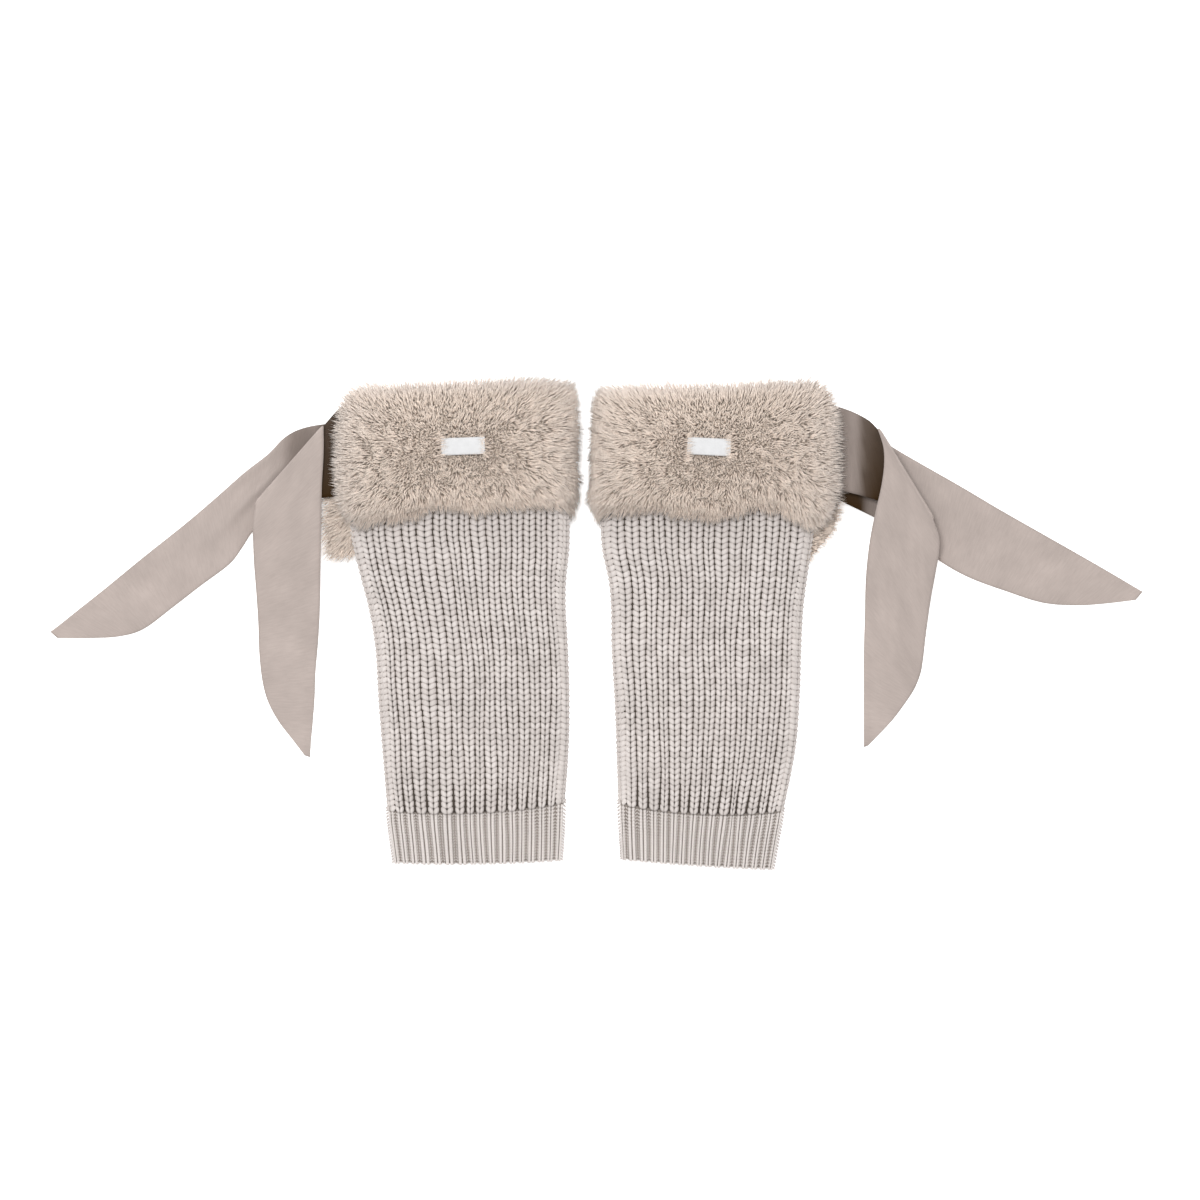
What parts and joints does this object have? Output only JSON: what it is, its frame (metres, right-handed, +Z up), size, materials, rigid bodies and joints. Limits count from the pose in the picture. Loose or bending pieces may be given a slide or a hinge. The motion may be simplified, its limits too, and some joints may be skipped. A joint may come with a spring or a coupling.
{
  "type": "pair of leg warmers",
  "caption": "Leg warmers laid flat side by side: ribbed knit tubes with a finer ribbed hem, turned-down fur cuffs open at the outer side, and sash ties from each opening.",
  "frame": {"origin": "centre of the pair's footprint, on the surface that it lies on", "axes": "+X across the pair to the viewer's right, +Y from the hems towards the cuffs, +Z up from the surface"},
  "size_m": [0.6006, 0.2707, 0.026],
  "materials": {
    "knit": "chunky ribbed knit, matt",
    "fur": "soft pile fur cloth",
    "sash": "fine woven satin, soft sheen",
    "tab": "woven tab, bare"
  },
  "bodies": {
    "root": {"left_body_knit": "knit", "left_hem_rib": "knit", "left_fur_cuff": "fur", "left_tie_front": "sash", "left_tie_rear": "sash", "left_label": "tab", "right_body_knit": "knit", "right_hem_rib": "knit", "right_fur_cuff": "fur", "right_tie_front": "sash", "right_tie_rear": "sash", "right_label": "tab"}
  },
  "joints": []
}
